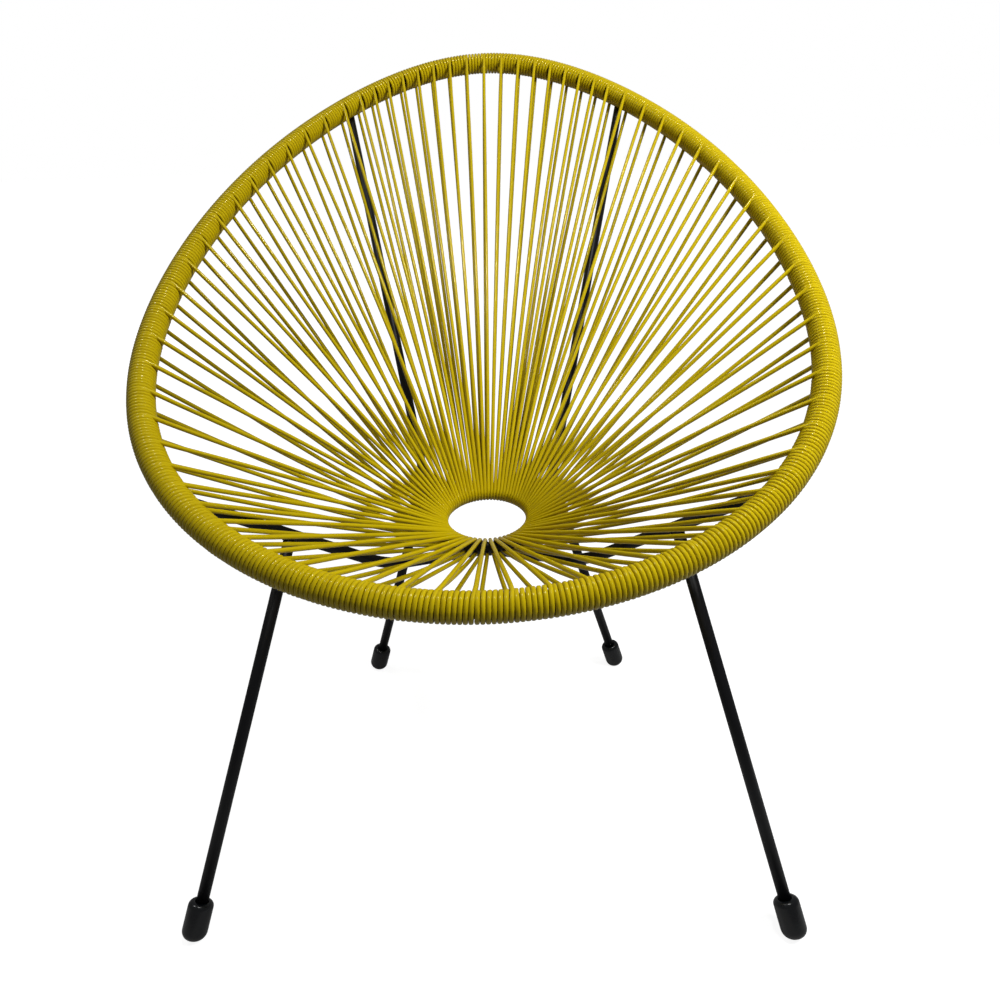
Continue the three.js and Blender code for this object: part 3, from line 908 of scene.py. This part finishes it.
# %% Cord finish
cord_material, tree, shader = new_material("mustard cord")
coat = node(tree, "ShaderNodeAttribute", attribute_name="cord_coat")
stretched = node(tree, "ShaderNodeMapping", Scale=(1.0, 1.0, 4.0))
tree.links.new(coat.outputs["Vector"], stretched.inputs["Vector"])
patch = place_uneven(
    tree, shader, stretched.outputs["Vector"], grain_scale=5.0, patch_scale=2.2,
    bump_strength=0.2, bump_distance=0.2 * mm, roughness=(0.12, 0.22),
)
mustards = ((0.43, 0.315, 0.0012), (0.56, 0.43, 0.002))
colour_between(tree, patch, mustards, shader.inputs["Base Color"])
shader.inputs["IOR"].default_value = 1.45
shader.inputs["Specular Tint"].default_value = (1.0, 0.9, 0.5, 1)
print(cord_material.name, "nodes:", len(tree.nodes))

# %% [markdown]
# The steel and the rubber take the effect by the place on the object. The grain on the steel is the orange
# peel of its powder coat. The rubber is a little blue and glossier than the steel.

# %% Steel and rubber finishes
steel_material, tree, shader = new_material("black powder coat")
place = node(tree, "ShaderNodeTexCoord")
place_uneven(
    tree, shader, place.outputs["Object"], grain_scale=900.0, patch_scale=14.0,
    bump_strength=0.15, bump_distance=0.3 * mm, roughness=(0.36, 0.48),
)
shader.inputs["Base Color"].default_value = (0.004, 0.004, 0.005, 1)
shader.inputs["IOR"].default_value = 1.35

rubber_material, tree, shader = new_material("black rubber")
place = node(tree, "ShaderNodeTexCoord")
patch = place_uneven(
    tree, shader, place.outputs["Object"], grain_scale=500.0, patch_scale=60.0,
    bump_strength=0.2, bump_distance=0.4 * mm, roughness=(0.2, 0.3),
)
blacks = ((0.0015, 0.002, 0.003), (0.003, 0.004, 0.005))
colour_between(tree, patch, blacks, shader.inputs["Base Color"])

finishes = {"seat_cord": cord_material, "powder_coated_steel": steel_material, "foot_rubber": rubber_material}
for slot, material in finishes.items():
    for piece in pieces_of_slot[slot]:
        piece.data.materials.append(material)
    print(slot, "pieces:", len(pieces_of_slot[slot]))

# %% [markdown]
# The chair stands on a plain white floor in a white room. The camera sees both as white, straight or
# through glass. In reflections they are nearly black, or else their haze would turn the black rods grey and
# the cord pale.

# %% What a ray sees of the surroundings
mirrored_white = 0.08


def seen_share(tree):
    """How white the surroundings are to a ray: full for the camera and through glass, part in reflections."""
    paths = node(tree, "ShaderNodeLightPath")
    direct = node(tree, "ShaderNodeMath", operation="MAXIMUM")
    tree.links.new(paths.outputs["Is Camera Ray"], direct.inputs[0])
    tree.links.new(paths.outputs["Is Transmission Ray"], direct.inputs[1])
    reflected = node(tree, "ShaderNodeMath", operation="MULTIPLY")
    tree.links.new(paths.outputs["Is Glossy Ray"], reflected.inputs[0])
    reflected.inputs[1].default_value = mirrored_white
    either = node(tree, "ShaderNodeMath", operation="MAXIMUM")
    tree.links.new(direct.outputs[0], either.inputs[0])
    tree.links.new(reflected.outputs[0], either.inputs[1])
    return either.outputs[0]


# %% [markdown]
# A white sheet under the chair would need strong light to look white. This floor glows instead, and takes
# the chair's soft shadow on its grey. It glows a little less near the chair, so that the shadow shows. The
# world round it gives little light, so that the lamps shape the chair.

# %% Floor and world
floor_reach = 30
floor_grey = 0.3
floor_roughness = 0.9
glow_reaches = (0.5, 3.0)
glow_strengths = (0.9, 1.0)
world_share = 0.12

floor_mesh = bpy.data.meshes.new("floor")
bm = bmesh.new()
bmesh.ops.create_grid(bm, x_segments=1, y_segments=1, size=floor_reach)
bm.to_mesh(floor_mesh)
bm.free()
floor = bpy.data.objects.new("floor", floor_mesh)
bpy.context.collection.objects.link(floor)
floor_material, tree, shader = new_material("white floor")
shader.inputs["Base Color"].default_value = (floor_grey, floor_grey, floor_grey, 1)
shader.inputs["Roughness"].default_value = floor_roughness
shader.inputs["Emission Color"].default_value = (1, 1, 1, 1)
place = node(tree, "ShaderNodeTexCoord")
away = node(tree, "ShaderNodeVectorMath", operation="LENGTH")
glow = node(tree, "ShaderNodeMath", operation="MULTIPLY")
tree.links.new(place.outputs["Object"], away.inputs[0])
remap(tree, away.outputs["Value"], glow_reaches, glow_strengths, glow.inputs[0])
tree.links.new(seen_share(tree), glow.inputs[1])
tree.links.new(glow.outputs[0], shader.inputs["Emission Strength"])
floor_mesh.materials.append(floor_material)

world = bpy.data.worlds.new("white room")
bpy.context.scene.world = world
world.use_nodes = True
tree = world.node_tree
sky = tree.nodes["Background"]
sky.inputs["Color"].default_value = (1, 1, 1, 1)
remap(tree, seen_share(tree), (0, 1), (world_share, 1), sky.inputs["Strength"])
print("floor:", 2 * floor_reach, "m wide, world:", world.name)

# %% [markdown]
# A studio would hang large softboxes round the chair. Here two small lamps overhead give each turn of cord
# its small highlight. Most of the light comes from a near lamp on the right, where the photograph is
# brightest, and a weak one behind lightens the back. Neither of these two shows in reflections.

# %% Lamps
chair_middle = Vector((0, 0, 0.45))
# Name, place, size in metres, power in watts, and whether it shows in reflections.
lamps = (
    ("lamp over the chair", Vector((0.15, -0.1, 2.4)), 0.2, 10, True),
    ("lamp over the left arm", Vector((-1.2, 0.1, 2.4)), 0.16, 5, True),
    ("fill near on the right", Vector((0.85, -0.45, 1.3)), 0.45, 16, False),
    ("fill behind on the left", Vector((-2.0, 2.2, 1.8)), 1.4, 15, False),
)
for name, place, size, power, mirrored_too in lamps:
    lamp_data = bpy.data.lights.new(name, "AREA")
    lamp_data.shape = "RECTANGLE"
    lamp_data.size = lamp_data.size_y = size
    lamp_data.energy = power
    lamp = bpy.data.objects.new(name, lamp_data)
    lamp.matrix_world = aim(place, place - chair_middle)
    lamp.visible_glossy = mirrored_too
    bpy.context.collection.objects.link(lamp)
print("lamps:", len(lamps))

bpy.context.scene.view_settings.view_transform = "Standard"
